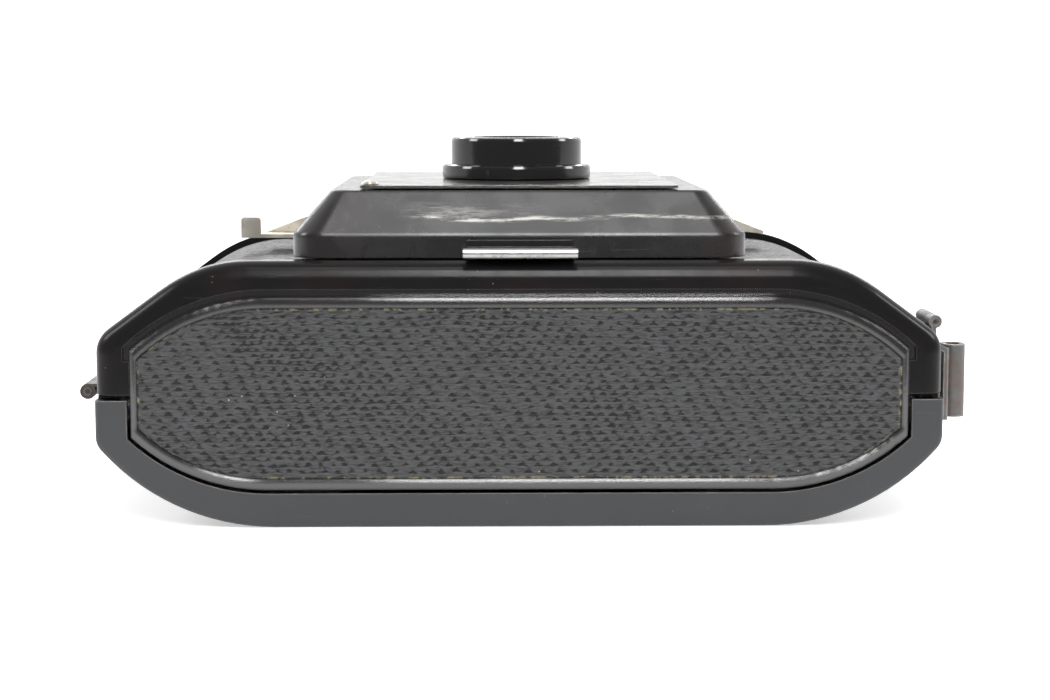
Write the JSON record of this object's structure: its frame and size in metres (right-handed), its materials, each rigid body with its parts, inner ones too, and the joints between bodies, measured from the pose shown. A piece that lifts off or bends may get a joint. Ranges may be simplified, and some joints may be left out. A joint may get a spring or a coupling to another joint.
{
  "type": "folding camera",
  "caption": "Pull-out roll-film camera lying on its back: enamelled casing with leatherette, hinged latched back, telescoping lens front, shutter release, winding knob and viewfinder.",
  "frame": {"origin": "middle of the flat back that the camera lies on", "axes": "+X along the film from the back's hinge to its latch, +Y from the bottom end to the top end, +Z out of the lens"},
  "size_m": [0.1479, 0.0994, 0.0628],
  "materials": {
    "black_enamel": "gloss",
    "satin_enamel": "satin",
    "matt_black": "matt",
    "leatherette": "ribbed grain",
    "nickel": "satin, tarnished",
    "worn_nickel": "worn, browned at the edges",
    "plate_metal": "gloss",
    "spring_steel": "brushed",
    "brass": "satin",
    "glass": "polished",
    "red_glass": "polished",
    "knob_enamel": "gloss"
  },
  "bodies": {
    "camera_body": {"front_shell": "black_enamel", "end_plate_bottom": "black_enamel", "end_plate_top": "black_enamel", "end_leather_bottom": "leatherette", "end_leather_top": "leatherette", "front_leather": "leatherette", "film_chamber": "matt_black", "tunnel_collar": "matt_black", "hinge_leaf_body": "worn_nickel", "hinge_rivets_body": "nickel", "hinge_pin": "spring_steel", "latch_bracket": "worn_nickel", "latch_pin": "spring_steel", "winder_bush": "brass", "click_spring": "spring_steel", "spool_stud_take_up": "spring_steel", "spool_stud_supply_bottom": "spring_steel", "spool_stud_supply_top": "spring_steel", "finder_housing": "black_enamel", "finder_front_lens": "glass", "finder_eye_lens": "glass", "finder_screws": "nickel"},
    "middle_stage": {"middle_tunnel": "matt_black"},
    "lens_front": {"inner_tunnel": "matt_black", "lens_hood": "black_enamel", "pull_tab_bottom": "black_enamel", "pull_tab_top": "black_enamel", "lens_plate": "plate_metal", "plate_screws": "nickel", "lens_flange": "black_enamel", "lens_ring": "black_enamel", "lens_barrel": "matt_black", "front_lens": "glass", "lens_retainer": "nickel", "rear_lens": "glass", "shutter_board": "matt_black", "side_guard_left": "nickel", "side_guard_right": "nickel"},
    "release": {"release_lever": "nickel"},
    "shutter": {"shutter_sector": "matt_black"},
    "time_setting": {"time_slide": "nickel"},
    "back": {"back_shell": "satin_enamel", "back_leather": "leatherette", "window_rings": "nickel", "red_windows": "red_glass", "pressure_springs": "spring_steel", "hinge_leaf_back": "worn_nickel", "hinge_rivets_back": "nickel", "latch_keeper": "worn_nickel"},
    "pressure": {"pressure_plate": "matt_black"},
    "latch": {"latch_lever": "worn_nickel"},
    "winder": {"winding_knob": "knob_enamel", "winding_shaft": "brass", "ratchet_wheel": "spring_steel", "take_up_spool": "matt_black"},
    "roller_left": {"film_roller_left": "nickel"},
    "roller_right": {"film_roller_right": "nickel"}
  },
  "joints": [
    {"name": "back_swing", "type": "hinge", "parent": "camera_body", "child": "back", "pos_m": [-0.0717, 0, 0.0214], "axis": [0, 1, 0], "range_deg": [0, 115]},
    {"name": "latch_swing", "type": "hinge", "parent": "camera_body", "child": "latch", "pos_m": [0.0695, -0.027, 0.0327], "axis": [0, -1, 0], "range_deg": [0, 105]},
    {"name": "middle_tunnel_slide", "type": "slide", "parent": "camera_body", "child": "middle_stage", "axis": [0, 0, 1], "range_m": [0, 0.02]},
    {"name": "lens_front_slide", "type": "slide", "parent": "middle_stage", "child": "lens_front", "axis": [0, 0, 1], "range_m": [0, 0.02]},
    {"name": "release_press", "type": "hinge", "parent": "lens_front", "child": "release", "pos_m": [-0.021, 0, 0.04525], "axis": [0, 0, 1], "range_deg": [0, 14], "stiffness_Nm_per_rad": 0.02, "springref_deg": -8.59},
    {"name": "shutter_swing", "type": "hinge", "parent": "lens_front", "child": "shutter", "pos_m": [-0.012, -0.011, 0.04965], "axis": [0, 0, 1], "range_deg": [0, 60.5]},
    {"name": "time_set", "type": "slide", "parent": "lens_front", "child": "time_setting", "axis": [1, 0, 0], "range_m": [0, 0.006]},
    {"name": "pressure_plate_give", "type": "slide", "parent": "back", "child": "pressure", "axis": [0, 0, 1], "range_m": [-0.0006, 0], "stiffness_N_per_m": 600, "springref_m": 0.0015, "deforming": ["pressure_springs"]},
    {"name": "winder_turn", "type": "hinge", "parent": "camera_body", "child": "winder", "pos_m": [-0.05, 0, 0.0205], "axis": [0, 1, 0], "continuous": true},
    {"name": "film_roller_left_turn", "type": "hinge", "parent": "camera_body", "child": "roller_left", "pos_m": [-0.0326, 0, 0.0069], "axis": [0, 1, 0], "continuous": true},
    {"name": "film_roller_right_turn", "type": "hinge", "parent": "camera_body", "child": "roller_right", "pos_m": [0.0326, 0, 0.0069], "axis": [0, 1, 0], "continuous": true}
  ],
  "couplings": [
    {"joint": "shutter_swing", "follows": "release_press", "ratio": 4.2857}
  ]
}
